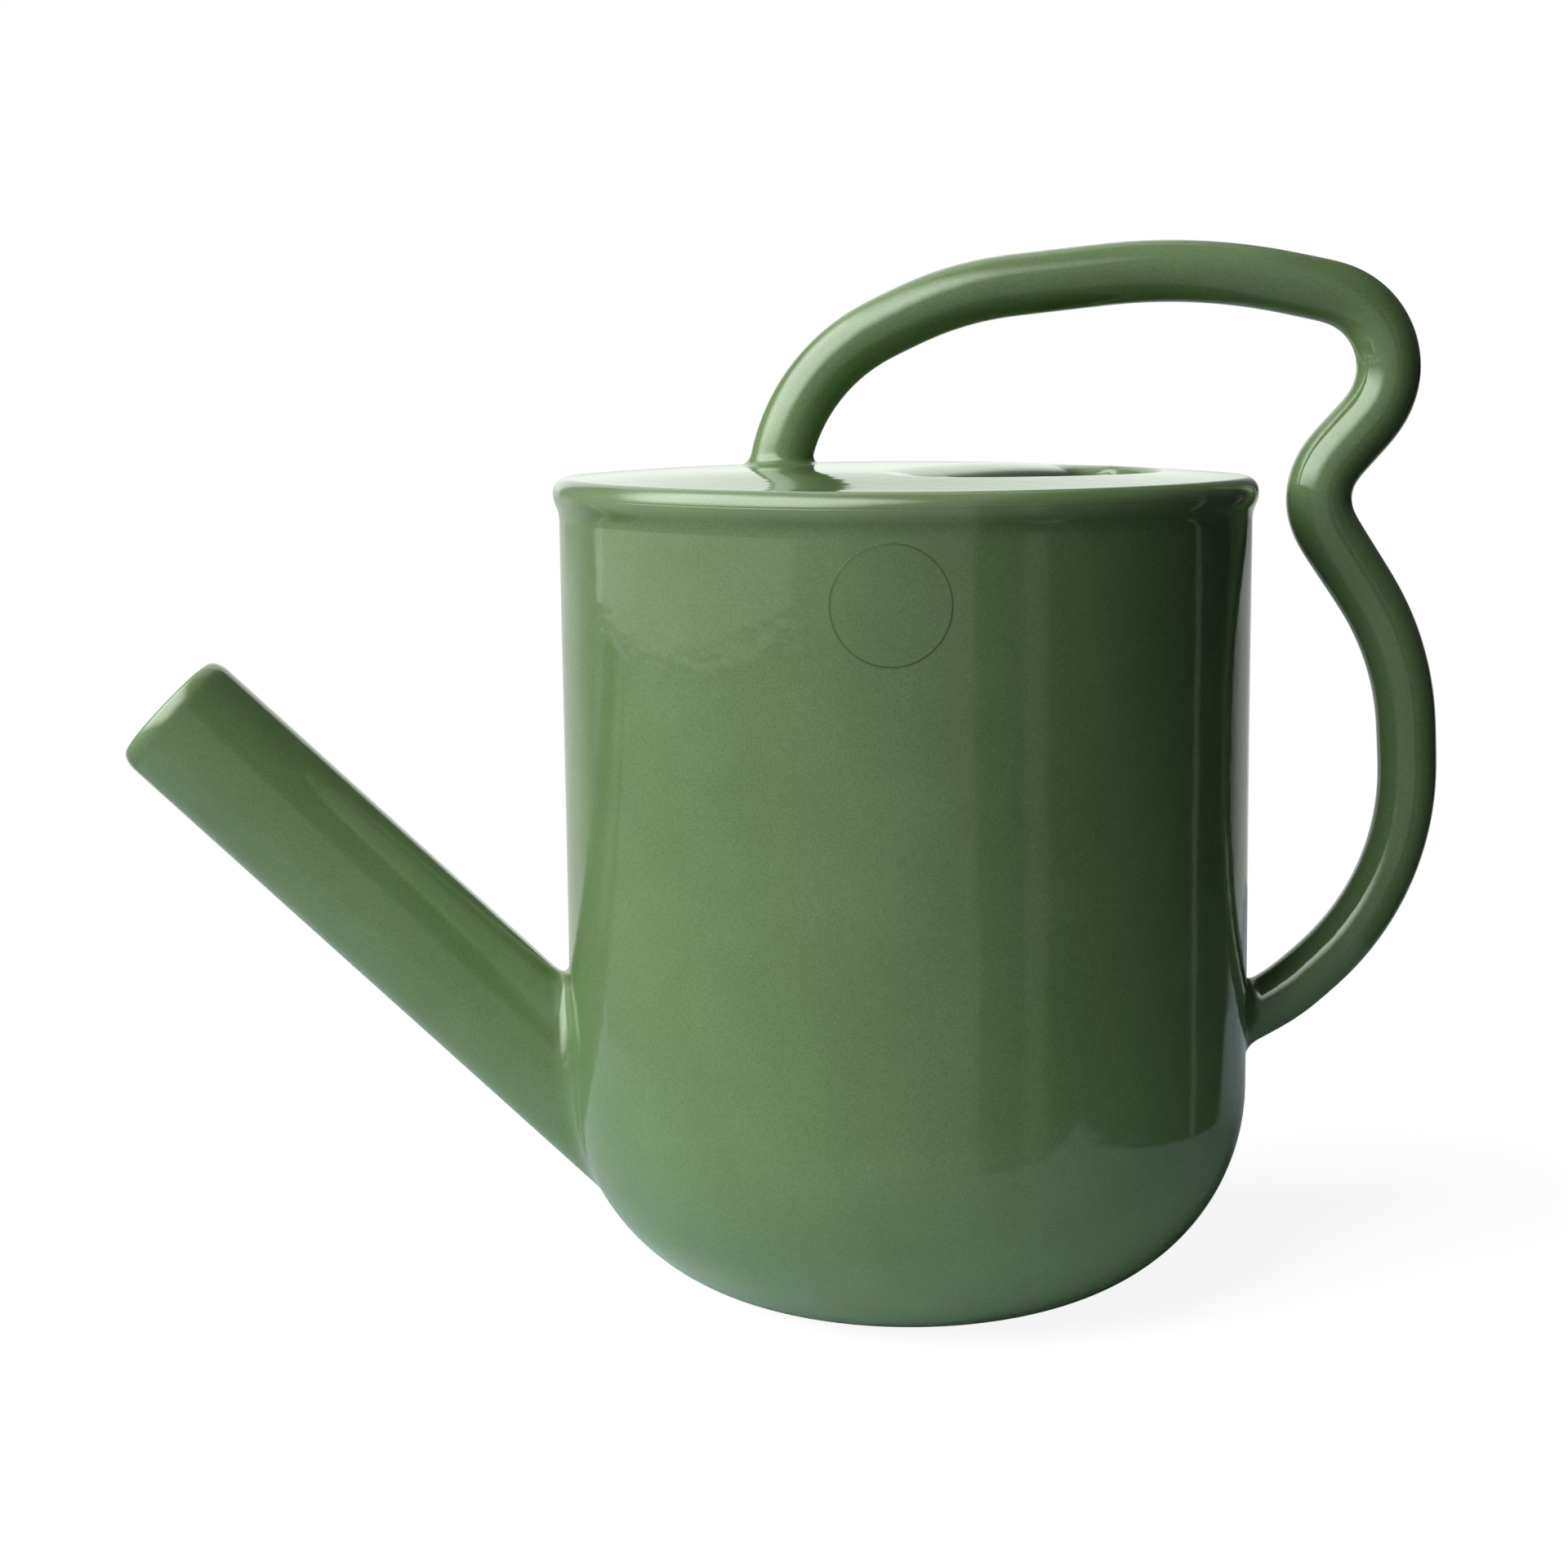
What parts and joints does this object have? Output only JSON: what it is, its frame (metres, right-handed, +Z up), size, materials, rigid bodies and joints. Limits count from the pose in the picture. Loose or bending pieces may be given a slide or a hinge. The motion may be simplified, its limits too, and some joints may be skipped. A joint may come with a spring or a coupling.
{
  "type": "watering can",
  "caption": "Glazed ceramic watering can with a straight slanted spout, a domed top with a half-moon filling opening and a bent round-bar handle.",
  "frame": {"origin": "middle of the foot, on the floor", "axes": "+Z up, +X from the spout towards the handle, +Y from the front to the back"},
  "size_m": [0.302, 0.1592, 0.2397],
  "materials": {
    "green_glaze": "gloss",
    "clear_film": "gloss"
  },
  "bodies": {
    "root": {"vessel": "green_glaze", "deck": "green_glaze", "spout": "green_glaze", "handle": "green_glaze", "spout_coil": "green_glaze", "handle_deck_coil": "green_glaze", "handle_wall_coil": "green_glaze", "label": "clear_film"}
  },
  "joints": []
}
